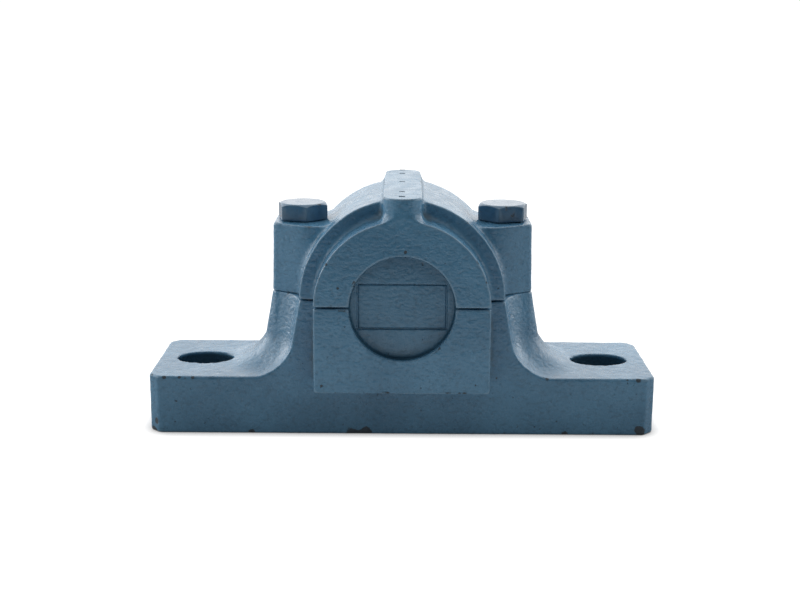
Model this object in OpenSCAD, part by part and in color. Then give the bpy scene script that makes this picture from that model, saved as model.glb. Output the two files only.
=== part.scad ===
// Split plummer block housing for a 25 mm shaft, with a spherical roller
// bearing on an adapter sleeve inside it. X runs along the foot, Y along the
// shaft and Z up; the origin is the middle of the machined base.

/* [Foot] */
// Length of the foot
foot_l = 185; // [178:1:195]
// Width of the foot, and of the body between its two plain faces
foot_w = 52; // [50:1:56]
// Thickness of the foot
foot_h = 21.5; // [20:0.5:24]
// Bevel of the foot's upright corners
foot_bevel = 3.7; // [2.5:0.1:5]
// Distance between the two foot slots
slot_spacing = 150; // [146:1:154]
// Length of each slot
slot_l = 21.5; // [18:0.5:24]
// Width of each slot
slot_w = 16; // [13:0.5:17]

/* [Body] */
// Height of the shaft centre above the base
shaft_z = 50; // [49.5:0.5:52]
// Outer radius of the arch over the bearing
arch_r = 37; // [36.5:0.5:38]
// Half length of the body at the split
column_x = 48; // [47.5:0.1:48.5]
// Radius of the hollow corners beside the arch
hollow_r = 18.5; // [18:0.1:19]
// Draft of the body below the split, in degrees
draft = 10.4; // [9:0.1:13]
// Radius of the sweep from the body into the foot
sweep_r = 13; // [11:0.5:14]
// Height of the flats under the bolt heads
lobe_z = 75.5; // [74:0.5:77]
// Half length over the lobes at that height
lobe_top_x = 47.5; // [47.2:0.1:48]
// Width of the bolt lobes of the cap
lobe_w = 34.6; // [33:0.2:36]

/* [Seal bosses] */
// Distance over the two boss faces
boss_w = 77; // [76:0.5:79]
// Outer radius of a boss
boss_r = 31.2; // [30.5:0.1:32]
// Height of the flat underside of a boss
boss_z = 19.2; // [18:0.2:21]
// Radius at the root of a boss
boss_root_r = 2.5; // [1:0.5:3]
// Radius of the bore for the shaft seals
seal_bore_r = 18.75; // [18:0.25:19]
// Radius of the seal groove
groove_r = 23.5; // [23.3:0.1:24]

/* [Rib on the cap] */
// Width of the rib
rib_w = 13.7; // [12:0.1:14]
// Height of its top above the base
rib_z = 89; // [88:0.5:91]

/* [Bolts] */
// Distance between the two cap bolts
bolt_spacing = 74.4; // [74:0.2:76]
// Thread size of the cap bolts
bolt_d = 10; // [8:1:10]
// Size of the hexagon across its flats
bolt_af = 17; // [16:0.5:17.5]

/* [Bearing] */
// Outside diameter of the bearing
bearing_od = 62; // [62:1:62]
// Width of the bearing
bearing_w = 20; // [20:1:20]
// Radius of the spherical raceway
race_r = 28.3; // [28.2:0.05:28.4]
// Largest radius of a roller
roller_r = 3.9; // [3.8:0.05:3.9]
// Length of a roller
roller_l = 7.2; // [7:0.1:7.2]
// Slope of the roller axes, in degrees
contact = 11.7; // [11.5:0.1:12]
// Rollers in each row
rollers = 16; // [14:1:16]
// Bore of the adapter sleeve, for the shaft
shaft_d = 25; // [24:0.5:25]

/* [Hidden] */
$fn = 96;
far = 60;

// Housing, derived
plain_y = foot_w / 2;
boss_y = boss_w / 2;
hollow_x = arch_r + hollow_r;
flare = (sweep_r + (shaft_z - foot_h - sweep_r) * sin(draft)) / cos(draft);
sweep_z = foot_h + sweep_r;
bolt_x = bolt_spacing / 2;
seat_r = bearing_od / 2 + 0.02;
seat_y = 16;
cavity_r = 27;
cavity_y = 27;
groove_y = [31, 36];
cap_relief = 0.6;
relief_y = 18.5;
o_ring_r = 0.75;
o_ring_at = [groove_r - o_ring_r - 0.05, -32.65];
rib_end_r = 7.2;
rib_marks = [-32, -21.3, 3.9, 26.6, 36.6];
rib_mark_x = -0.3;
dowel_at = [32, 20.5];
dowel_d = 5;
dowel_l = 14;
pocket_x = [12, 54];
pocket_w = 40;
pocket_h = 16;
bolt_l = 50;
bolt_hole_z = 23.5;
head_h = 6.4;
washer_face_h = 0.35;
left_turn = -17.7;

// Bearing, derived
row_r = race_r - roller_r - 0.05;
roller_profile_r = 27.8;
inner_profile_r = 28.35;
guide_gap = 0.1;
cage_gap = 0.1;
taper = 1 / 12;
cone_r = 15;
half_w = bearing_w / 2;
sleeve_y = [-19, 12];
slit_w = 3;
washer_t = 1.25;
nut_y = [-18.25, -half_w - washer_t];
nut_r = 22.5;
iron_blue = "#46627c";

function roller_name(row, i) = str("roller_", row, "_", i < 10 ? "0" : "", i);

// Radius of the tapered bore of the inner ring at a place along the shaft
function cone_at(y) = cone_r + (y + half_w) * taper / 2;

// Outline, clear of the body, that sweeps from the split down into the foot.
// Its x is the distance outside the upright wall, and its y the height.
module sweep_outline(reach) {
    touch = [flare - sweep_r * cos(draft), sweep_z - sweep_r * sin(draft)];
    polygon([[0, shaft_z], touch, [flare, sweep_z], [flare, foot_h],
        [reach, foot_h], [reach, shaft_z + 1], [0, shaft_z + 1]]);
    translate([flare, sweep_z]) circle(r = sweep_r);
}

module mirror_x() { children(); mirror([1, 0, 0]) children(); }
module mirror_y() { children(); mirror([0, 1, 0]) children(); }

// Solid of revolution about the shaft: x of the outline is the radius
// and y the place along the shaft
module about_shaft(angle = 360, start = 0) {
    translate([0, 0, shaft_z]) rotate([-90, 0, 0]) rotate([0, 0, start])
        rotate_extrude(angle = angle) children();
}

// Ring about the shaft with square corners
module shaft_ring(r, y) {
    about_shaft() translate([r[0], y[0]]) square([r[1] - r[0], y[1] - y[0]]);
}

// Plain cylinder along the shaft
module shaft_rod(r, y) {
    translate([0, y[0], shaft_z]) rotate([-90, 0, 0]) cylinder(r = r, h = y[1] - y[0], $fn = 128);
}

module foot_outline() {
    x = [foot_l / 2 - foot_bevel, foot_l / 2];
    y = [plain_y - foot_bevel, plain_y];
    polygon([[x[0], y[1]], [x[1], y[0]], [x[1], -y[0]], [x[0], -y[1]],
        [-x[0], -y[1]], [-x[1], -y[0]], [-x[1], y[0]], [-x[0], y[1]]]);
}

module slot_outline() {
    straight = slot_l - slot_w;
    square([straight, slot_w], center = true);
    for (sx = [-straight / 2, straight / 2]) translate([sx, 0]) circle(d = slot_w);
}

module foot() {
    difference() {
        linear_extrude(foot_h) foot_outline();
        mirror_x() translate([slot_spacing / 2, 0, -1]) linear_extrude(foot_h + 2) slot_outline();
    }
}

// Cutters for the swept ends and the four hollow corners of the body
module sweep_cutters() {
    mirror_x() {
        rotate([90, 0, 0]) linear_extrude(foot_w + 2, center = true)
            translate([column_x, 0]) sweep_outline(far);
        mirror_y() {
            translate([hollow_x, plain_y, 0]) rotate_extrude() intersection() {
                translate([hollow_r, 0]) mirror([1, 0]) sweep_outline(hollow_r);
                square([hollow_r + 1, far]);
            }
            translate([hollow_x, plain_y - hollow_r, 0]) rotate([90, 0, 90])
                linear_extrude(far) sweep_outline(hollow_r + 1);
        }
    }
}

module column() {
    half = column_x + flare;
    difference() {
        translate([-half, -plain_y, foot_h - 1]) cube([2 * half, foot_w, shaft_z - foot_h + 1]);
        sweep_cutters();
    }
}

// The seal boss at the front end: a round top on upright sides, with a
// rounded root where it leaves the plain face
module boss() {
    wall = boss_y - plain_y;
    translate([0, -plain_y + 1, 0]) rotate([90, 0, 0]) linear_extrude(wall + 1) boss_outline();
    intersection() {
        about_shaft() boss_root();
        translate([-far, -boss_y, shaft_z]) cube([2 * far, boss_y, far]);
    }
}

module boss_outline() {
    translate([0, shaft_z]) circle(r = boss_r, $fn = 160);
    translate([-boss_r, boss_z]) square([2 * boss_r, shaft_z - boss_z]);
}

module boss_root() {
    out = boss_r + boss_root_r;
    face = -plain_y - boss_root_r;
    difference() {
        translate([boss_r - 1, face]) square([boss_root_r + 1, boss_root_r + 1]);
        translate([out, face]) circle(r = boss_root_r);
    }
}

// Room for the bearing, the seals and the end cover
module inner_bores() {
    shaft_rod(seat_r, [-seat_y, seat_y]);
    shaft_rod(cavity_r, [-cavity_y, cavity_y]);
    shaft_rod(seal_bore_r, [-boss_y - 1, boss_y + 1]);
    mirror_y() shaft_rod(groove_r, groove_y);
}

module dowel_holes() {
    for (s = [-1, 1]) translate([s * dowel_at[0], s * dowel_at[1], shaft_z - dowel_l / 2])
        cylinder(d = dowel_d, h = dowel_l);
}

module housing_base() {
    color(iron_blue) difference() {
        union() {
            foot();
            column();
            mirror_y() intersection() {
                boss();
                translate([-far, -far, 0]) cube([2 * far, 2 * far, shaft_z]);
            }
        }
        inner_bores();
        dowel_holes();
        mirror_x() {
            translate([bolt_x, 0, bolt_hole_z]) cylinder(d = bolt_d + 0.1, h = far);
            translate([pocket_x[0], -pocket_w / 2, -1])
                cube([pocket_x[1] - pocket_x[0], pocket_w, pocket_h + 1]);
        }
    }
}

// Plan of the cap's two bolt lobes, hollowed beside the arch
module lobe_outline() {
    difference() {
        square([2 * column_x, lobe_w], center = true);
        for (sx = [-1, 1], sy = [-1, 1]) translate([sx * hollow_x, sy * plain_y]) circle(r = hollow_r);
    }
}

// The two lobes, drawn in slightly from the split to the bolt flats
module lobes() {
    intersection() {
        translate([0, 0, shaft_z]) linear_extrude(lobe_z - shaft_z) lobe_outline();
        rotate([90, 0, 0]) linear_extrude(foot_w, center = true) polygon([[-column_x, shaft_z],
            [column_x, shaft_z], [lobe_top_x, lobe_z], [-lobe_top_x, lobe_z]]);
    }
}

module rib() {
    end = boss_y - rib_end_r;
    translate([0, 0, shaft_z]) linear_extrude(rib_z - shaft_z) intersection() {
        square([rib_w, boss_w], center = true);
        union() {
            square([2 * rib_end_r, 2 * end], center = true);
            for (s = [-end, end]) translate([0, s]) circle(r = rib_end_r);
        }
    }
}

module housing_cap() {
    color(iron_blue) difference() {
        union() {
            shaft_rod(arch_r, [-plain_y, plain_y]);
            lobes();
            mirror_y() boss();
            rib();
        }
        translate([-far, -far, shaft_z - far]) cube([2 * far, 2 * far, far]);
        mirror_y() translate([-far, relief_y, shaft_z - 1]) cube([2 * far, far, cap_relief + 1]);
        inner_bores();
        dowel_holes();
        mirror_x() translate([bolt_x, 0, shaft_z - 1]) cylinder(d = bolt_d + 0.5, h = far);
        for (y = rib_marks) translate([rib_mark_x, y, rib_z]) cube([2.1, 0.7, 0.8], center = true);
    }
}

// Hexagon bolt with a washer face under its head and a chamfered crown
module cap_bolt(turn) {
    corner_r = bolt_af / 2 / cos(30);
    chamfer = 0.9;
    color("#4a6c8a") {
        intersection() {
            rotate(turn) translate([0, 0, lobe_z + washer_face_h])
                cylinder(r = corner_r, h = head_h - washer_face_h, $fn = 6);
            translate([0, 0, lobe_z]) rotate_extrude() polygon([[0, 0], [corner_r, 0],
                [corner_r, head_h - chamfer * tan(30)], [corner_r - chamfer, head_h], [0, head_h]]);
        }
        translate([0, 0, lobe_z]) cylinder(d = bolt_af - 0.8, h = washer_face_h + 0.1);
        translate([0, 0, lobe_z - bolt_l + 1]) cylinder(d = bolt_d, h = bolt_l);
        translate([0, 0, lobe_z - bolt_l]) cylinder(d1 = bolt_d - 2, d2 = bolt_d, h = 1);
    }
}
module cap_bolt_left() { translate([-bolt_x, 0, 0]) cap_bolt(left_turn); }
module cap_bolt_right() { translate([bolt_x, 0, 0]) cap_bolt(-left_turn); }

module dowel_pin(side) {
    color("silver") translate([side * dowel_at[0], side * dowel_at[1], shaft_z - dowel_l / 2])
        cylinder(d = dowel_d, h = dowel_l);
}
module dowel_pin_front() { dowel_pin(-1); }
module dowel_pin_rear() { dowel_pin(1); }

// Blind cover that closes the front end, held in the seal groove
module end_cover() {
    face_y = -34.2;
    pocket = [32, 0.7, 16.7];
    color("#3f5f7a") difference() {
        union() {
            shaft_rod(groove_r - 0.3, [face_y + 0.1, -groove_y[0] - 0.2]);
            shaft_rod(seal_bore_r - 0.1, [face_y, face_y + 1]);
        }
        translate([0, face_y, shaft_z]) cube(pocket + [0, pocket[1], 0], center = true);
        about_shaft() translate([o_ring_at[0] - o_ring_r - 0.05, o_ring_at[1] - o_ring_r - 0.1])
            square([3, 2 * o_ring_r + 0.2]);
        translate([0, -groove_y[0] - 1.2, shaft_z]) rotate([-90, 0, 0]) cylinder(r = 16, h = 3);
    }
}
module end_cover_o_ring() {
    color("#222222") about_shaft() translate(o_ring_at) circle(r = o_ring_r, $fn = 32);
}

// One half of the split two-lip seal in the rear groove
module shaft_seal(start) {
    rim = [18.2, groove_r - 0.2];
    side = [groove_y[0] + 0.2, groove_y[1] - 0.2];
    web = [32.6, 34.4];
    web_r = 14.8;
    lip_r = shaft_d / 2 + 0.1;
    color("#2b2b2d") about_shaft(180, start) polygon([[rim[0], side[0]], [rim[1], side[0]],
        [rim[1], side[1]], [rim[0], side[1]], [rim[0], web[1]], [web_r, web[1]],
        [lip_r + 0.6, side[1]], [lip_r, side[1] - 0.2], [13.9, (web[0] + web[1]) / 2],
        [lip_r, side[0] + 0.2], [lip_r + 0.6, side[0]], [web_r, web[0]], [rim[0], web[0]]]);
}
module shaft_seal_upper() { shaft_seal(180); }
module shaft_seal_lower() { shaft_seal(0); }

// Open ring that holds the bearing in the middle of its seat
module locating_ring(y) {
    opening = 28;
    color("#8d9196") about_shaft(360 - opening, opening / 2 - 90)
        translate([cavity_r + 0.5, y]) square([seat_r - cavity_r - 0.55, seat_y - half_w]);
}
module locating_ring_front() { locating_ring(-seat_y); }
module locating_ring_rear() { locating_ring(half_w); }

// Outline of the outer ring, with the lubrication groove round its middle
module outer_ring_outline() {
    r = bearing_od / 2;
    chamfer = 1;
    difference() {
        polygon([[24, -half_w], [r - chamfer, -half_w], [r, chamfer - half_w], [r, half_w - chamfer],
            [r - chamfer, half_w], [24, half_w]]);
        circle(r = race_r, $fn = 180);
        translate([r - 0.6, -1.5]) square([1, 3]);
    }
}
module bearing_outer_ring() {
    color("#c4c7ca") difference() {
        about_shaft() outer_ring_outline();
        for (turn = [0, 120, 240]) translate([0, 0, shaft_z]) rotate([0, turn, 0])
            cylinder(d = 2, h = bearing_od / 2 + 1, $fn = 24);
    }
}

// Frame of the rear row of rollers: x points out along the line of contact
// and y along the roller's own axis
module row_frame() {
    translate([row_r * cos(contact), row_r * sin(contact)]) rotate(contact) children();
}
module both_rows() { children(); mirror([0, 1]) children(); }

module bearing_inner_ring() {
    land_r = 18.8;
    color("#c4c7ca") about_shaft() difference() {
        polygon([[cone_at(-half_w), -half_w], [land_r, -half_w], [land_r, -8.4], [21, -8.4],
            [21, 8.4], [land_r, 8.4], [land_r, half_w], [cone_at(half_w), half_w]]);
        both_rows() row_frame() translate([inner_profile_r - roller_r - 0.05, 0])
            circle(r = inner_profile_r, $fn = 180);
    }
}

// Loose ring that runs between the two rows
module bearing_guide_ring() {
    face = roller_l / 2 + guide_gap;
    color("#b9a26a") about_shaft() intersection() {
        translate([21.15, -3]) square([3.1, 6]);
        translate([0, -far / 2]) difference() {
            square([far, far]);
            translate([0, far / 2]) both_rows() row_frame()
                translate([-far, -face]) square([2 * far, far]);
        }
    }
}

// Window cage of the rear row
module cage(turn) {
    sheet = [0.65, 1.75];
    flange = [roller_l / 2 + 0.12, roller_l / 2 + 0.82];
    window_l = roller_l + 2 * cage_gap;
    color("#b08d45") difference() {
        about_shaft() row_frame() {
            translate([sheet[0], -4.1]) square([sheet[1] - sheet[0], flange[1] + 4.1]);
            translate([-2.6, flange[0]]) square([sheet[1] + 2.6, flange[1] - flange[0]]);
        }
        for (i = [1 : rollers]) on_row(i, turn) translate([0, 0, -window_l / 2])
            cylinder(r = roller_r + cage_gap, h = window_l, $fn = 48);
    }
}
module cage_front() { mirror([0, 1, 0]) cage(180 / rollers); }
module cage_rear() { cage(0); }

// Places a child, standing along Z, on the axis of roller i of the rear row
module on_row(i, turn) {
    translate([0, 0, shaft_z]) rotate([0, i * 360 / rollers + turn, 0])
        translate([row_r * cos(contact), row_r * sin(contact), 0])
        rotate([-90, 0, 0]) rotate([0, -contact, 0]) children();
}

// Barrel roller with flat ends
module roller(i, turn) {
    color("#d3d6d9") on_row(i, turn) rotate_extrude() intersection() {
        translate([roller_r - roller_profile_r, 0]) circle(r = roller_profile_r, $fn = 180);
        translate([0, -roller_l / 2]) square([roller_r + 1, roller_l]);
    }
}
module roller_front(i) { mirror([0, 1, 0]) roller(i, 180 / rollers); }
module roller_rear(i) { roller(i, 0); }

// Slotted sleeve that grips the shaft when the nut draws it into the ring
module adapter_sleeve() {
    thread_r = cone_r - 0.05;
    gap = 0.01;
    color("#9a9da1") difference() {
        about_shaft() polygon([[shaft_d / 2, sleeve_y[0]], [thread_r - 1, sleeve_y[0]],
            [thread_r, sleeve_y[0] + 1], [thread_r, -half_w], [cone_at(-half_w) - gap, -half_w],
            [cone_at(sleeve_y[1]) - gap, sleeve_y[1]], [shaft_d / 2, sleeve_y[1]]]);
        translate([-slit_w / 2, sleeve_y[0] - 1, shaft_z])
            cube([slit_w, sleeve_y[1] - sleeve_y[0] + 2, cone_r + 3]);
    }
}

module lock_nut() {
    notch = [5, nut_y[1] - nut_y[0] + 2, 4];
    chamfer = 0.8;
    color("#8f9397") difference() {
        about_shaft() polygon([[cone_r, nut_y[0]], [nut_r - chamfer, nut_y[0]],
            [nut_r, nut_y[0] + chamfer], [nut_r, nut_y[1]], [cone_r, nut_y[1]]]);
        for (turn = [0 : 90 : 270]) translate([0, 0, shaft_z]) rotate([0, turn, 0])
            translate([-notch[0] / 2, nut_y[0] - 1, nut_r - 2]) cube(notch);
    }
}

// Toothed washer: one tooth is bent into a notch of the nut, and a tongue
// reaches into the slit of the sleeve
module lock_washer() {
    teeth = 12;
    tooth = [4.2, washer_t, 4.3];
    bend_r = 20.6;
    color("#a8abae") {
        shaft_ring([cone_r + 0.25, 20.8], [nut_y[1], -half_w]);
        for (i = [1 : teeth - 1]) translate([0, 0, shaft_z]) rotate([0, i * 360 / teeth, 0])
            translate([-tooth[0] / 2, nut_y[1], 20.2]) cube(tooth);
        translate([-tooth[0] / 2, nut_y[1] - 2.6, shaft_z + bend_r]) cube([tooth[0], 2.6 + washer_t, 1.2]);
        translate([-1.3, nut_y[1], shaft_z + 13.2]) cube([2.6, washer_t, 4]);
    }
}

housing_base();
housing_cap();
cap_bolt_left();
cap_bolt_right();
dowel_pin_front();
dowel_pin_rear();
end_cover();
end_cover_o_ring();
shaft_seal_upper();
shaft_seal_lower();
locating_ring_front();
locating_ring_rear();
bearing_outer_ring();
bearing_inner_ring();
bearing_guide_ring();
cage_front();
cage_rear();
adapter_sleeve();
lock_nut();
lock_washer();
for (i = [1 : rollers]) roller_front(i);
for (i = [1 : rollers]) roller_rear(i);
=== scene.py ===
import math

import bpy
import numpy as np
import openvdb
from mathutils import Matrix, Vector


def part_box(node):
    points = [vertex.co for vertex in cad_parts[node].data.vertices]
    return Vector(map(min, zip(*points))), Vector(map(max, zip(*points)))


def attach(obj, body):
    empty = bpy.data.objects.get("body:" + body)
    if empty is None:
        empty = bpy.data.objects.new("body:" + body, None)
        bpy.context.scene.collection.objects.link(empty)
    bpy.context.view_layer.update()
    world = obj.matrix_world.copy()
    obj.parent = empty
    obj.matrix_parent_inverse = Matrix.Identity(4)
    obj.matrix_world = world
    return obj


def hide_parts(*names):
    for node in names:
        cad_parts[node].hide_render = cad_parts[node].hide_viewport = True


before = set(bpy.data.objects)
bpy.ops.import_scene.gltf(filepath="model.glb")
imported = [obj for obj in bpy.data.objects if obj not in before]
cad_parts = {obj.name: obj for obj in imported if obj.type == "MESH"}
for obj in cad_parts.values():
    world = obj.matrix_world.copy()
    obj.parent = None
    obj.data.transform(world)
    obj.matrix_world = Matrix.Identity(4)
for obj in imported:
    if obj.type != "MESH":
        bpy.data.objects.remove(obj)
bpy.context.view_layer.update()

# Lengths below are in millimetres unless a name says otherwise. The shapes
# repeat the CAD part's dimensions, read from its boxes where they show.
MM = 0.001


def box_mm(node):
    low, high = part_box(node)
    return np.array(low) / MM, np.array(high) / MM


BASE_LOW, BASE_HIGH = box_mm("housing_base")
CAP_LOW, CAP_HIGH = box_mm("housing_cap")
BOLT_LOW, BOLT_HIGH = box_mm("cap_bolt_right")
COVER_LOW, COVER_HIGH = box_mm("end_cover")

# Foot. SLOT holds the half lengths of an oval slot along X and Y.
FOOT_X = BASE_HIGH[0]
FOOT_Y = 26.0
FOOT_H = 21.5
FOOT_BEVEL = 3.7
SLOT_X = 75.0
SLOT = (10.75, 8.0)

# Body and cap
SPLIT_Z = BASE_HIGH[2]
COLUMN_X = CAP_HIGH[0]
ARCH_R = 37.0
HOLLOW_R = 18.5
HOLLOW_X = ARCH_R + HOLLOW_R
DRAFT = math.radians(10.4)
SWEEP_R = 13.0
LOBE_Z = 75.5
LOBE_DRAFT = 0.5 / (LOBE_Z - SPLIT_Z)
LOBE_Y = 17.3
CAP_RELIEF = 0.6
RELIEF_Y = 18.5
BOSS_Y = BASE_HIGH[1]
BOSS_R = 31.2
BOSS_Z = 19.2
RIB_X = 6.85
RIB_Z = CAP_HIGH[2]
RIB_END_R = 7.2
BOLT_X = (BOLT_LOW[0] + BOLT_HIGH[0]) / 2

# Short dashes across the rib, drawn as plates of painted shadow: where along Y,
# where along X, half lengths, and how far they reach below and above the rib's top
MARKS_Y = (-32.0, -21.3, 3.9, 26.6, 36.6)
MARK_X = -0.3
MARK_HALF = (1.05, 0.35)
MARK_REACH = (-0.4, 0.06)

# Bolts, and the edge where their flats and crown meet
BOLT_FLAT = 8.5
BOLT_TURN = -17.7
BOLT_EDGE = 0.15
CROWN_R = 8.1
WASHER_FACE = 0.35
SHANK_R = 5.0
THREAD_PITCH = 1.5
THREAD_DEPTH = 0.92
THREAD_TOP = 53.0

# End cover: the panel, the line cut round it, the groove in the rim (middle,
# half width and depth) and the shallow recess in the back (radius and depth)
PANEL_X = 16.0
PANEL_Z = 8.35
PANEL_DEPTH = 0.5
LINE_HALF = 0.3
LINE_INSET = 0.35
LINE_DEPTH = 0.45
RIM_GROOVE = (32.65, 0.85, 1.35)
BACK_RECESS = (16.0, 1.0)

# Machined inside: radius and half length of the two bores, radius and ends of
# the seal groove, place (X, Y), radius and half length of a dowel hole, radius
# and bottom of a tapped hole, and radius of a hole in the cap
SEAT = (31.02, 16.0)
CAVITY = (27.0, 27.0)
SEAL_BORE_R = 18.75
GROOVE = (23.5, 31.0, 36.0)
DOWEL = (32.0, 20.5, 2.5, 7.0)
TAPPED_HOLE = (5.05, 23.5)
CAP_HOLE_R = 5.25

# Hollows under the foot
POCKET_X = (12.0, 54.0)
POCKET_Y = 20.0
POCKET_Z = 16.0

# Where the paint is knocked off: x, y, z and radius
KNOCKS = (
    (-89.5, -24.5, 4.0, 1.8), (-90.5, -23.5, 0.6, 2.2), (-55.0, -26.0, 0.5, 2.0), (-18.0, -26.0, 0.3, 3.2),
    (-13.5, -26.0, 0.3, 3.0), (87.5, -25.0, 1.6, 2.6), (-46.9, -16.8, 74.8, 2.3), (-47.2, -16.5, 70.0, 0.9),
    (-47.4, -16.0, 58.0, 0.9), (47.4, -16.0, 51.5, 1.5), (-86.5, -26.0, 21.2, 1.1), (-81.0, -26.0, 21.3, 0.9),
    (-76.0, -26.0, 21.3, 0.8), (86.0, -26.0, 21.2, 1.4), (82.0, -26.0, 21.3, 0.8), (1.0, -38.5, 70.5, 0.8),
    (-22.5, -38.5, 57.5, 0.8), (-28.5, -38.5, 22.0, 0.9), (26.0, -38.5, 22.5, 0.7), (-26.5, -38.3, 66.0, 0.9),
    (29.5, -38.3, 60.0, 0.8), (60.0, -26.0, 0.4, 1.6), (-40.0, 26.0, 0.5, 2.6), (91.0, 12.0, 0.6, 1.8),
)

# Rounding of cast and of machined edges, the fillet between the parts of the
# cap, and the grain of the cast skin (size and height)
SOFT_EDGE = 0.8
CRISP_EDGE = 0.35
CAP_FILLET = 2.6
GRAINS = ((0.6, 0.022), (1.8, 0.016), (6.5, 0.022))

# The camera of the reference view, in metres and radians
LENS = 58.81
SENSOR = 36
CAMERA_AT = (0.00038, -0.4816, 0.1585)
PITCH, YAW, ROLL = 0.2326, 0.0026, 0.0056


class Grid:
    """Lattice of points, in millimetres, that covers a box with room to spare."""

    def __init__(self, low, high, step):
        margin = 4 * step
        self.step = step
        self.low = np.array(low, float) - margin
        counts = np.ceil((np.array(high) - self.low + margin) / step).astype(int) + 1
        self.shape = tuple(int(n) for n in counts)
        ends = [self.low[i] + step * np.arange(n) for i, n in enumerate(self.shape)]
        x, y, z = (line.astype(np.float32) for line in ends)
        self.x, self.y, self.z = x[:, None, None], y[None, :, None], z[None, None, :]

    def blurred(self, values, size):
        """values, blurred by a Gaussian of the given size in millimetres."""
        reach = math.ceil(2.5 * size / self.step)
        weights = np.exp(-0.5 * (np.arange(-reach, reach + 1) * self.step / size) ** 2)
        weights = (weights / weights.sum()).astype(np.float32)
        for axis in range(3):
            rows = np.moveaxis(values, axis, 0)
            padded = np.pad(rows, ((reach, reach), (0, 0), (0, 0)), mode="edge")
            rows = sum(w * padded[k : k + len(rows)] for k, w in enumerate(weights))
            values = np.moveaxis(rows, 0, axis)
        return values

    def grain(self, seed, scale=1.0):
        """Uneven skin of a sand casting: a few sizes of smooth random bumps."""
        total = 0
        for turn, (size, height) in enumerate(GRAINS):
            noise = np.random.default_rng(seed + turn).standard_normal(self.shape, dtype=np.float32)
            spectrum = np.fft.rfftn(noise)
            for axis, count in enumerate(self.shape):
                lines = np.fft.rfftfreq if axis == 2 else np.fft.fftfreq
                shape = [1, 1, 1]
                shape[axis] = -1
                spectrum *= np.exp(-0.5 * (2 * math.pi * size * lines(count, self.step)) ** 2).reshape(shape)
            noise = np.fft.irfftn(spectrum, s=self.shape, axes=(0, 1, 2))
            total = total + (noise * (height * scale / noise.std())).astype(np.float32)
        return total

    def sample(self, values, points):
        """values at points, by trilinear interpolation."""
        place = (points - self.low) / self.step
        cell = np.clip(np.floor(place).astype(int), 0, np.array(self.shape) - 2)
        part = place - cell
        result = 0
        for corner in np.ndindex(2, 2, 2):
            weight = np.prod(np.where(corner, part, 1 - part), axis=1)
            result = result + weight * values[tuple((cell + corner).T)]
        return result


# Solids as fields: a field is the distance to a surface, negative inside.


def length(*parts):
    return np.sqrt(sum(part**2 for part in parts))


def union(a, b, r):
    """Joins two solids with a fillet of radius r."""
    fillet = length(np.maximum(r - a, 0), np.maximum(r - b, 0))
    return np.maximum(r, np.minimum(a, b)) - fillet


def common(a, b, r):
    """Keeps what two solids share, with the new edge rounded to radius r."""
    return -union(-a, -b, r)


def cut(a, tool, r):
    """Cuts the tool out of a solid and rounds the new edge to radius r."""
    return common(a, -tool, r)


def oval(x, y, half_x, half_y):
    """Upright oval hole, with its half lengths."""
    across, along = x / half_x, y / half_y
    reach = length(across, along)
    return (reach - 1) * reach / (length(across / half_x, along / half_y) + 1e-6)


def shaft_cylinder(g, r, half):
    return common(length(g.x, g.z - SPLIT_Z) - r, abs(g.y) - half, 0.01)


def hollow_ends(g, half_y):
    """Plan of the body or the lobes: upright ends between four hollow corners."""
    corner = length(np.minimum(abs(g.x) - HOLLOW_X, 0), abs(g.y) - FOOT_Y)
    side = HOLLOW_R - corner
    if half_y is not None:
        side = common(side, abs(g.y) - half_y, 7.0)
    return common(abs(g.x) - COLUMN_X + LOBE_DRAFT * np.maximum(g.z - SPLIT_Z, 0), side, 1.4)


def boss(g):
    outline = length(g.x, np.maximum(g.z - SPLIT_Z, 0)) - BOSS_R
    outline = common(outline, BOSS_Z - g.z, 0.9)
    return common(outline, abs(g.y) - BOSS_Y, 0.45)


def cut_bores(g, field):
    """The bearing seat, the room beside it, the seal bores and their grooves."""
    field = cut(field, shaft_cylinder(g, *SEAT), 0.2)
    field = cut(field, shaft_cylinder(g, *CAVITY), 0.2)
    field = cut(field, length(g.x, g.z - SPLIT_Z) - SEAL_BORE_R, 0.35)
    groove_r, near, far = GROOVE
    side = np.maximum(near - abs(g.y), abs(g.y) - far)
    field = cut(field, np.maximum(length(g.x, g.z - SPLIT_Z) - groove_r, side), 0.15)
    x, y, r, half = DOWEL
    for turn in (-1, 1):
        hole = length(g.x - turn * x, g.y - turn * y) - r
        field = cut(field, np.maximum(hole, abs(g.z - SPLIT_Z) - half), 0.15)
    return field


def base_field(g):
    """Foot, flared body and lower half of the boss, hollow underneath."""
    x, y = abs(g.x) - FOOT_X, abs(g.y) - FOOT_Y
    plan = common(common(x, (x + y + FOOT_BEVEL) * math.sqrt(0.5), 0.5), y, 0.5)
    slope = (SPLIT_Z - g.z) * math.tan(DRAFT)
    column = (hollow_ends(g, None) - slope) * math.cos(DRAFT)
    body = union(column, g.z - FOOT_H, SWEEP_R)
    body = common(body, plan + 0 * g.z, SOFT_EDGE)
    body = union(body, boss(g), 1.4)
    body = body + g.grain(11)
    body = cut(body, oval(abs(g.x) - SLOT_X, g.y, *SLOT), 0.35)
    body = common(body, -g.z, 0.7)
    pocket_mid = sum(POCKET_X) / 2
    pocket_half = (POCKET_X[1] - POCKET_X[0]) / 2
    pocket = common(abs(abs(g.x) - pocket_mid) - pocket_half, abs(g.y) - POCKET_Y, 4)
    body = cut(body, common(pocket, g.z - POCKET_Z, 2), 0.5)
    body = common(body, g.z - SPLIT_Z, CRISP_EDGE)
    hole_r, hole_bottom = TAPPED_HOLE
    hole = length(abs(g.x) - BOLT_X, g.y) - hole_r
    body = cut(body, np.maximum(hole, hole_bottom - g.z), 0.3)
    return cut_bores(g, body)


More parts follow.
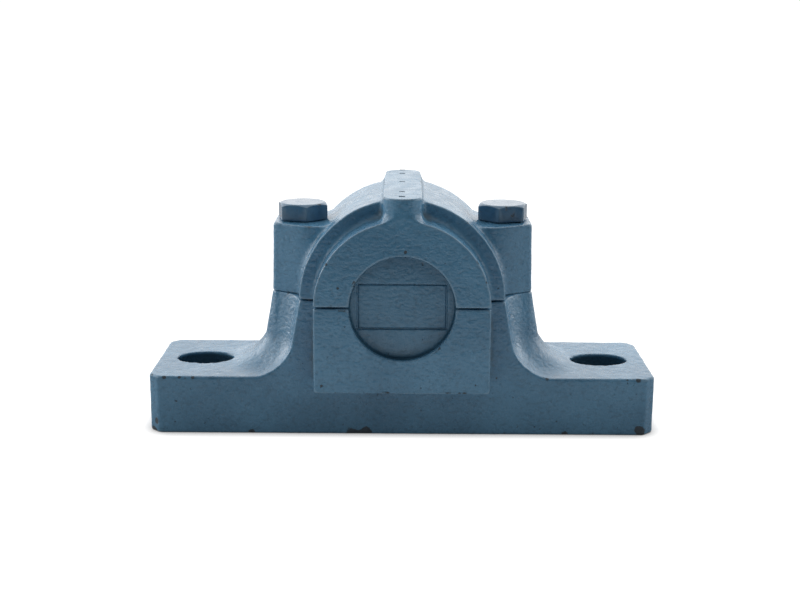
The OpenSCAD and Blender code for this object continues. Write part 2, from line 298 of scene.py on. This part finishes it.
def cap_field(g):
    """Arch, bolt lobes, upper half of the boss, and the rib over them."""
    arch = common(length(g.x, g.z - SPLIT_Z) - ARCH_R, abs(g.y) - FOOT_Y, SOFT_EDGE)
    lobes = common(hollow_ends(g, LOBE_Y), g.z - LOBE_Z, SOFT_EDGE)
    body = union(arch, lobes, CAP_FILLET)
    body = union(body, boss(g), CAP_FILLET)
    rib_end = length(g.x, np.maximum(abs(g.y) - BOSS_Y + RIB_END_R, 0)) - RIB_END_R
    plan = common(abs(g.x) - RIB_X, rib_end, 0.5)
    body = union(body, common(plan, g.z - RIB_Z, 0.5), 3.0)
    body = common(body, abs(g.y) - BOSS_Y, 0.45)
    body = common(body + g.grain(23), g.z - RIB_Z, 0.2)
    body = common(body, SPLIT_Z - g.z, CRISP_EDGE)
    relief = np.maximum(RELIEF_Y - abs(g.y), g.z - SPLIT_Z - CAP_RELIEF)
    body = cut(body, relief, 0.2)
    body = cut(body, length(abs(g.x) - BOLT_X, g.y) - CAP_HOLE_R, 0.3)
    return cut_bores(g, body)


def bolt_field(side):
    """Hexagon bolt: washer face, head with a 30 degree crown, threaded shank."""

    def solid(g):
        x, y = g.x - side * BOLT_X, g.y
        r = length(x, y)
        angle = math.radians(-side * BOLT_TURN)
        flats = []
        for turn in (30, 90, 150):
            way = angle + math.radians(turn)
            flats.append(abs(x * math.cos(way) + y * math.sin(way)) - BOLT_FLAT)
        head = common(common(flats[0], flats[1], BOLT_EDGE), flats[2], BOLT_EDGE)
        crown = (r - CROWN_R) * 0.5 + (g.z - BOLT_HIGH[2]) * math.cos(math.pi / 6)
        head = common(common(head, crown, 0.1), g.z - BOLT_HIGH[2], BOLT_EDGE)
        head = common(head, LOBE_Z + WASHER_FACE - g.z, BOLT_EDGE)
        washer = common(r - BOLT_FLAT + 0.4, np.maximum(LOBE_Z - g.z, g.z - LOBE_Z - 2), 0.05)
        turns = g.z / THREAD_PITCH - np.arctan2(y, x) / (2 * math.pi)
        groove = abs(turns - np.round(turns)) * 2 * THREAD_DEPTH
        threaded = np.clip((THREAD_TOP - g.z) / THREAD_PITCH, 0, 1)
        shank = r - (SHANK_R - groove * threaded)
        point = (r - SHANK_R + 1) * 0.7 + (BOLT_LOW[2] - g.z) * 0.7
        shank = np.maximum(np.maximum(shank, point), np.maximum(BOLT_LOW[2] - g.z, g.z - LOBE_Z - 1))
        return union(np.minimum(head, washer), shank, 0.1)

    return solid


def cover_field(g):
    """Blind end cover: disc with a framed shallow panel, and a grooved rim."""
    r = length(g.x, g.z - SPLIT_Z)
    face, back = COVER_LOW[1], COVER_HIGH[1]
    disc = common(r - COVER_HIGH[0], np.maximum(face + 0.1 - g.y, g.y - back), 0.2)
    disc = union(disc, common(r - SEAL_BORE_R + 0.1, np.maximum(face - g.y, g.y - back + 1), 0.2), 0.1)
    disc = disc + g.grain(37, 0.35)
    panel = np.maximum(abs(g.x) - PANEL_X, abs(g.z - SPLIT_Z) - PANEL_Z)
    disc = cut(disc, common(panel, g.y - face - PANEL_DEPTH, 0.1), 0.15)
    line = np.maximum(abs(panel + LINE_INSET) - LINE_HALF, g.y - face - PANEL_DEPTH - LINE_DEPTH)
    disc = cut(disc, line, 0.12)
    middle, half, depth = RIM_GROOVE
    disc = cut(disc, np.maximum(COVER_HIGH[0] - depth - r, abs(g.y + middle) - half), 0.1)
    recess_r, recess_depth = BACK_RECESS
    return cut(disc, np.maximum(r - recess_r, back - recess_depth - g.y), 0.3)


def sculpt(name, low, high, step, solid, faces):
    """Makes a mesh object from a field. Each point keeps how sharply the
    surface turns outwards there (edge), how deep it lies (hollow) and how near
    it is to the middle of a knock (worn)."""
    g = Grid(low, high, step)
    field = np.array(np.broadcast_to(solid(g), g.shape), dtype=np.float32, order="C")
    volume = openvdb.FloatGrid(float(step))
    volume.copyFromArray(field)
    points, quads = volume.convertToQuads(isovalue=0.0)
    mesh = bpy.data.meshes.new(name)
    mesh.from_pydata((g.low + points * step) * MM, [], quads)
    rough = bpy.data.objects.new(name + "_rough", mesh)
    bpy.context.scene.collection.objects.link(rough)
    if 2 * len(quads) > faces:
        rough.modifiers.new("thin", "DECIMATE").ratio = faces / (2 * len(quads))
    evaluated = rough.evaluated_get(bpy.context.evaluated_depsgraph_get())
    final = bpy.data.meshes.new_from_object(evaluated)
    final.name = name
    bpy.data.objects.remove(rough)
    bpy.data.meshes.remove(mesh)

    place = np.empty(3 * len(final.vertices), np.float32)
    final.vertices.foreach_get("co", place)
    place = place.reshape(-1, 3) / MM
    full = np.clip(0.5 - field / step, 0, 1)
    for label, size in (("edge", 0.8), ("hollow", 3.0)):
        turn = 0.5 - g.sample(g.blurred(full, size), place)
        layer = final.attributes.new(label, "FLOAT", "POINT")
        layer.data.foreach_set("value", turn.astype(np.float32))
    worn = np.zeros(len(place))
    for *spot, r in KNOCKS:
        worn = np.maximum(worn, 1 - np.linalg.norm(place - spot, axis=1) / (1.6 * r))
    layer = final.attributes.new("worn", "FLOAT", "POINT")
    layer.data.foreach_set("value", worn.astype(np.float32))
    final.shade_smooth()
    normal = np.empty((len(place), 3))
    for axis in range(3):
        reach = np.zeros(3)
        reach[axis] = 0.6 * step
        normal[:, axis] = g.sample(field, place + reach) - g.sample(field, place - reach)
    normal /= np.maximum(np.linalg.norm(normal, axis=1), 1e-9)[:, None]
    final.normals_split_custom_set_from_vertices(normal)
    piece = bpy.data.objects.new(name, final)
    bpy.context.scene.collection.objects.link(piece)
    return piece


class Surface:
    """Principled material, built node by node."""

    def __init__(self, name, **values):
        self.material = bpy.data.materials.new(name)
        self.material.use_nodes = True
        self.tree = self.material.node_tree
        self.shader = self.tree.nodes["Principled BSDF"]
        self.place = self.add("ShaderNodeTexCoord").outputs["Object"]
        for socket, value in values.items():
            self.shader.inputs[socket.replace("_", " ")].default_value = value

    def add(self, kind, settings=None, **inputs):
        node = self.tree.nodes.new(kind)
        for key, value in (settings or {}).items():
            setattr(node, key, value)
        for key, value in inputs.items():
            socket = node.inputs[int(key[1:])] if key[0] == "_" else node.inputs[key.replace("_", " ")]
            self.feed(socket, value)
        return node

    def feed(self, socket, value):
        if isinstance(value, bpy.types.NodeSocket):
            self.tree.links.new(value, socket)
        else:
            socket.default_value = value

    def noise(self, size_mm, detail=2.0, roughness=0.5, vector=None):
        node = self.add("ShaderNodeTexNoise", Scale=1 / (size_mm * MM), Detail=detail, Roughness=roughness)
        self.feed(node.inputs["Vector"], vector or self.place)
        return node.outputs["Fac"]

    def spread(self, value, low, high, out_low=0.0, out_high=1.0):
        node = self.add("ShaderNodeMapRange", {"interpolation_type": "SMOOTHSTEP"})
        for socket, item in zip(node.inputs[:5], (value, low, high, out_low, out_high)):
            self.feed(socket, item)
        return node.outputs[0]

    def maths(self, operation, a, b=0.0, clamp=False):
        node = self.add("ShaderNodeMath", {"operation": operation, "use_clamp": clamp}, _0=a, _1=b)
        return node.outputs[0]

    def blend(self, factor, a, b):
        node = self.add("ShaderNodeMix", {"data_type": "RGBA"})
        for index, item in ((0, factor), (6, a), (7, b)):
            self.feed(node.inputs[index], item)
        return node.outputs[2]

    def attribute(self, name):
        return self.add("ShaderNodeAttribute", {"attribute_name": name}).outputs["Fac"]

    def bump(self, height, depth_mm, strength=1.0, before=None):
        node = self.add("ShaderNodeBump", Strength=strength, Distance=depth_mm * MM, Height=height)
        if before:
            self.feed(node.inputs["Normal"], before)
        return node.outputs["Normal"]

    def finish(self, **sockets):
        for socket, value in sockets.items():
            self.feed(self.shader.inputs[socket.replace("_", " ")], value)
        return self.material


def srgb(red, green, blue):
    """Linear colour, with alpha, of an sRGB colour in 0 to 255."""
    parts = [(c / 255 / 12.92) if c < 11 else ((c / 255 + 0.055) / 1.055) ** 2.4 for c in (red, green, blue)]
    return (*parts, 1.0)


def faded(colour, share):
    """A colour with each part brought down to the share given."""
    return tuple(share * c for c in colour[:3]) + (1.0,)


def slot_shade_mask(s):
    """Where shade is painted in the foot's slots: 1 on their walls, below their rims, and 0 elsewhere."""
    x, y, z = s.add("ShaderNodeSeparateXYZ", Vector=s.place).outputs
    across = s.maths("DIVIDE", s.maths("SUBTRACT", s.maths("ABSOLUTE", x), SLOT_X * MM), SLOT[0] * MM)
    along = s.maths("DIVIDE", y, SLOT[1] * MM)
    reach = s.maths("ADD", s.maths("POWER", across, 2.0), s.maths("POWER", along, 2.0))
    depth = s.spread(z, (FOOT_H - 0.4) * MM, (FOOT_H - 1.4) * MM)
    return s.maths("MULTIPLY", s.spread(reach, 1.25, 1.1), depth)


def enamel(name, light, dark, grain_mm, grain_depth, wear, rough=0.24, shade_slots=False):
    """Blue enamel over cast iron: pebbled skin on the sides, with pooled paint and
    painted shade in its low spots, and a smoother one on level faces, dark
    pinholes, grime and painted shade in the hollows, painted highlights along
    outward edges, and chipped edges. More wear means more chips, and a switch
    darkens the walls of the foot's slots with painted shade."""
    s = Surface(name, IOR=1.5)
    paint = s.blend(s.spread(s.noise(26, 3), 0.35, 0.68), dark, light)
    stretched = s.add("ShaderNodeMapping", Vector=s.place, Scale=(0.65, 0.65, 1.0)).outputs[0]
    pebble = s.noise(grain_mm, 2, 0.55, stretched)
    # Pooled paint and painted shade: the pebble's low spots are darkened.
    paint = s.blend(s.spread(pebble, 0.5, 0.32, 0, 0.28), paint, faded(dark, 0.4))
    edge = s.attribute("edge")
    hollow = s.attribute("hollow")
    # Painted highlight: edges that turn outwards are lightened.
    paint = s.blend(s.spread(edge, 0.1, 0.18, 0, 0.4), paint, srgb(132, 158, 176))
    # Grime and painted shade: the hollows are darkened and greyed.
    grime_and_shade = s.maths("MULTIPLY", s.spread(hollow, -0.09, -0.22), s.spread(s.noise(5, 4), 0.38, 0.62, 0.1, 0.6))
    paint = s.blend(grime_and_shade, paint, srgb(84, 90, 88))
    pits = s.spread(s.noise(1.6, 2), 0.7, 0.76)
    pits = s.maths("MULTIPLY", pits, s.spread(s.noise(17, 2), 0.4, 0.56))
    paint = s.blend(s.maths("MULTIPLY", pits, 0.8), paint, srgb(30, 36, 40))
    ragged = s.noise(6, 6, 0.65)
    chips = s.maths("MULTIPLY", s.spread(edge, 0.06 - wear, 0.11 - wear), s.spread(ragged, 0.62, 0.68))
    knock = s.maths("ADD", s.attribute("worn"), s.maths("SUBTRACT", ragged, 0.5))
    chips = s.maths("MAXIMUM", chips, s.spread(knock, 0.48, 0.58))
    paint = s.blend(s.maths("MULTIPLY", chips, 0.85), paint, srgb(52, 54, 54))
    # Painted shade: the walls of the foot's slots are darkened.
    if shade_slots:
        paint = s.blend(s.maths("MULTIPLY", slot_shade_mask(s), 0.85), paint, faded(dark, 0.25))
    roughness = s.spread(s.noise(3.5, 3), 0.3, 0.7, rough, rough + 0.1)
    matt = s.maths("MULTIPLY", s.maths("MAXIMUM", chips, grime_and_shade), 0.35)
    roughness = s.maths("ADD", roughness, matt, clamp=True)
    normal = s.add("ShaderNodeNewGeometry").outputs["Normal"]
    facing = s.add("ShaderNodeSeparateXYZ", Vector=normal).outputs["Z"]
    skin = s.bump(pebble, grain_depth, strength=s.spread(facing, 0.93, 0.99, 1.0, 0.22))
    skin = s.bump(s.maths("MULTIPLY", s.maths("ADD", chips, pits, clamp=True), -1.0), 0.12, before=skin)
    return s.finish(Base_Color=paint, Roughness=roughness, Normal=skin)


def metal(name, colour, rough, stain, turned=0.0):
    """Bare machined metal, with turning marks round the shaft and light staining."""
    s = Surface(name, Metallic=1.0)
    shade = s.spread(s.noise(9, 5, 0.6), 0.35, 0.7)
    tone = s.blend(s.maths("MULTIPLY", shade, stain), colour, faded(colour, 0.45))
    roughness = s.spread(s.noise(4, 4), 0.3, 0.7, rough, rough + 0.14)
    centre = s.add("ShaderNodeMapping", Vector=s.place, Location=(0, 0, -SPLIT_Z * MM)).outputs[0]
    marks = s.add(
        "ShaderNodeTexWave", {"wave_type": "RINGS", "rings_direction": "Y"},
        Vector=centre, Scale=1 / (1.1 * MM), Distortion=1.5, Detail=3.0,
    ).outputs["Fac"]
    skin = s.bump(marks, 0.012 + turned, strength=0.35)
    skin = s.bump(s.noise(0.8, 3), 0.01, before=skin)
    return s.finish(Base_Color=tone, Roughness=roughness, Normal=skin)


def rubber(name):
    s = Surface(name, Specular_IOR_Level=0.35)
    tone = s.blend(s.spread(s.noise(6, 4), 0.4, 0.7), srgb(30, 31, 33), srgb(46, 47, 48))
    roughness = s.spread(s.noise(2.2, 3), 0.3, 0.7, 0.5, 0.68)
    return s.finish(Base_Color=tone, Roughness=roughness, Normal=s.bump(s.noise(0.5, 3), 0.02))


def rib_marks(material):
    """Dark plates, let into the rib's top, that paint the shadow in the dashes across it."""
    half_x, half_y = MARK_HALF
    points = [
        ((MARK_X + dx) * MM, (y + dy) * MM, (RIB_Z + dz) * MM)
        for y in MARKS_Y for dx in (-half_x, half_x) for dy in (-half_y, half_y) for dz in MARK_REACH
    ]
    sides = ((0, 1, 3, 2), (4, 6, 7, 5), (0, 4, 5, 1), (2, 3, 7, 6), (0, 2, 6, 4), (1, 5, 7, 3))
    mesh = bpy.data.meshes.new("rib_marks")
    mesh.from_pydata(points, [], [[8 * i + k for k in side] for i in range(len(MARKS_Y)) for side in sides])
    mesh.materials.append(material)
    plates = bpy.data.objects.new("rib_marks", mesh)
    bpy.context.scene.collection.objects.link(plates)
    return plates


def dress(node, material):
    """Gives a CAD node its material."""
    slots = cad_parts[node].data.materials
    slots.clear()
    slots.append(material)


casting = enamel("housing_enamel", srgb(83, 133, 165), srgb(72, 119, 150), 1.15, 0.24, 0.0, shade_slots=True)
# Painted shade: the bolts carry the housing's blue made darker, standing for the dim room their facets
# reflect.
bolt_paint = enamel("bolt_enamel", srgb(66, 110, 142), srgb(56, 97, 128), 1.6, 0.02, -0.03, 0.13)
cover_paint = enamel("cover_enamel", srgb(76, 122, 152), srgb(66, 109, 138), 1.2, 0.18, -0.1)

base = sculpt("base_casting", BASE_LOW, BASE_HIGH, 0.5, base_field, 180000)
cap = sculpt("cap_casting", CAP_LOW, CAP_HIGH, 0.42, cap_field, 160000)
left = sculpt("bolt_left", *box_mm("cap_bolt_left"), 0.2, bolt_field(-1), 80000)
right = sculpt("bolt_right", *box_mm("cap_bolt_right"), 0.2, bolt_field(1), 80000)
cover = sculpt("blind_cover", COVER_LOW, COVER_HIGH, 0.22, cover_field, 90000)
for piece, node, paint, slot in (
    (base, "housing_base", casting, "housing_paint"),
    (cap, "housing_cap", casting, "housing_paint"),
    (left, "cap_bolt_left", bolt_paint, "bolt_paint"),
    (right, "cap_bolt_right", bolt_paint, "bolt_paint"),
    (cover, "end_cover", cover_paint, "cover_paint"),
):
    piece.data.materials.append(paint)
    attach(piece, "housing")
    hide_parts(node)

shadow = Surface("mark_shadow", Roughness=0.7)
shadow_tone = shadow.blend(shadow.noise(1, 2), srgb(34, 52, 68), srgb(48, 68, 86))
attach(rib_marks(shadow.finish(Base_Color=shadow_tone)), "housing")

steel = metal("bearing_steel", (0.62, 0.63, 0.64, 1), 0.16, 0.2)
cage_steel = metal("cage_steel", (0.40, 0.38, 0.34, 1), 0.34, 0.35)
sleeve_steel = metal("sleeve_steel", (0.42, 0.43, 0.44, 1), 0.3, 0.4, 0.01)
nut_steel = metal("nut_steel", (0.30, 0.31, 0.32, 1), 0.36, 0.5, 0.01)
iron = metal("turned_iron", (0.33, 0.33, 0.34, 1), 0.42, 0.5, 0.02)
black_rubber = rubber("seal_rubber")
FINISHES = {
    "cap_bolt_left": bolt_paint, "cap_bolt_right": bolt_paint, "end_cover": cover_paint,
    "cage_front": cage_steel, "cage_rear": cage_steel, "adapter_sleeve": sleeve_steel,
    "lock_nut": nut_steel, "lock_washer": sleeve_steel, "bearing_guide_ring": cage_steel,
    "locating_ring_front": iron, "locating_ring_rear": iron, "end_cover_o_ring": black_rubber,
    "shaft_seal_upper": black_rubber, "shaft_seal_lower": black_rubber,
}
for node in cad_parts:
    dress(node, FINISHES.get(node, steel))


# The paper ends below the picture, in metres, and lights the object from the
# place along Y where its glow starts to where it is full. Each light is the
# direction towards it, how near to that direction it starts and is full (as a
# cosine), and its strength; the room gives every direction a little.
FLOOR_FRONT = -0.3
FLOOR_GLOW = (-0.035, -0.12, 0.24, 0.75)
FLOOR_SEEN = 0.78
ROOM_LIGHT = 0.05
LIGHTS = (
    ((0, 1, 0), 0.1, 0.65, 1.55),
    ((-0.95, 0.3, 0.1), 0.74, 0.95, 2.3),
    ((0.95, 0.3, 0.1), 0.78, 0.96, 1.4),
    ((0, 0, 1), 0.3, 0.9, 0.58),
)


def studio():
    """White paper under the object, a bright sweep behind it, soft lights at
    its left, its right and above, and a dim room in front."""
    mesh = bpy.data.meshes.new("floor")
    corners = [(-3, FLOOR_FRONT, 0), (3, FLOOR_FRONT, 0), (3, 4, 0), (-3, 4, 0)]
    mesh.from_pydata(corners, [], [(0, 1, 2, 3)])
    floor = bpy.data.objects.new("floor", mesh)
    bpy.context.scene.collection.objects.link(floor)
    s = Surface("floor_paper", Roughness=0.9, Specular_IOR_Level=0.1)
    tone = s.blend(s.noise(400, 2), (0.26, 0.26, 0.26, 1), (0.28, 0.28, 0.28, 1))
    s.shader.inputs["Emission Color"].default_value = (1, 1, 1, 1)
    eye = s.add("ShaderNodeLightPath").outputs["Is Camera Ray"]
    # Painted shadow: the paper's glow is dimmed where the object crowds it, as a contact shadow.
    shade = s.add("ShaderNodeAmbientOcclusion", {"samples": 8}, Distance=0.006).outputs["AO"]
    along = s.add("ShaderNodeSeparateXYZ", Vector=s.place).outputs["Y"]
    glow = s.maths("ADD", s.spread(along, *FLOOR_GLOW), s.maths("MULTIPLY", eye, FLOOR_SEEN), clamp=True)
    glow = s.maths("MULTIPLY", s.maths("POWER", shade, 1.2), glow)
    floor.data.materials.append(s.finish(Base_Color=tone, Emission_Strength=glow))

    world = bpy.data.worlds.new("studio")
    bpy.context.scene.world = world
    world.use_nodes = True
    tree = world.node_tree
    ground = tree.nodes["Background"]
    ground.inputs["Color"].default_value = (1, 1, 1, 1)
    towards = tree.nodes.new("ShaderNodeTexCoord")
    total = None
    for direction, start, full, strength in LIGHTS:
        near = tree.nodes.new("ShaderNodeVectorMath")
        near.operation = "DOT_PRODUCT"
        near.inputs[1].default_value = direction
        tree.links.new(towards.outputs["Generated"], near.inputs[0])
        part = tree.nodes.new("ShaderNodeMapRange")
        part.interpolation_type = "SMOOTHSTEP"
        for socket, value in zip(part.inputs[1:5], (start, full, 0.0, strength)):
            socket.default_value = value
        tree.links.new(near.outputs["Value"], part.inputs[0])
        added = tree.nodes.new("ShaderNodeMath")
        added.inputs[1].default_value = ROOM_LIGHT
        if total:
            tree.links.new(total, added.inputs[1])
        tree.links.new(part.outputs[0], added.inputs[0])
        total = added.outputs[0]
    eye = tree.nodes.new("ShaderNodeLightPath")
    seen = tree.nodes.new("ShaderNodeMix")
    seen.inputs[3].default_value = 1.05
    tree.links.new(eye.outputs["Is Camera Ray"], seen.inputs[0])
    tree.links.new(total, seen.inputs[2])
    tree.links.new(seen.outputs[0], ground.inputs["Strength"])


def camera():
    """The camera of the reference view: a little above, straight from the front."""
    data = bpy.data.cameras.new("camera")
    data.lens = LENS
    data.sensor_width = SENSOR
    data.clip_start = 0.01
    view = bpy.data.objects.new("camera", data)
    turn = Matrix.Rotation(YAW, 4, "Z") @ Matrix.Rotation(math.pi / 2 - PITCH, 4, "X")
    turn = turn @ Matrix.Rotation(ROLL, 4, "Z")
    view.matrix_world = Matrix.Translation(CAMERA_AT) @ turn
    bpy.context.scene.collection.objects.link(view)
    bpy.context.scene.camera = view


studio()
camera()
bpy.context.scene.view_settings.view_transform = "Standard"
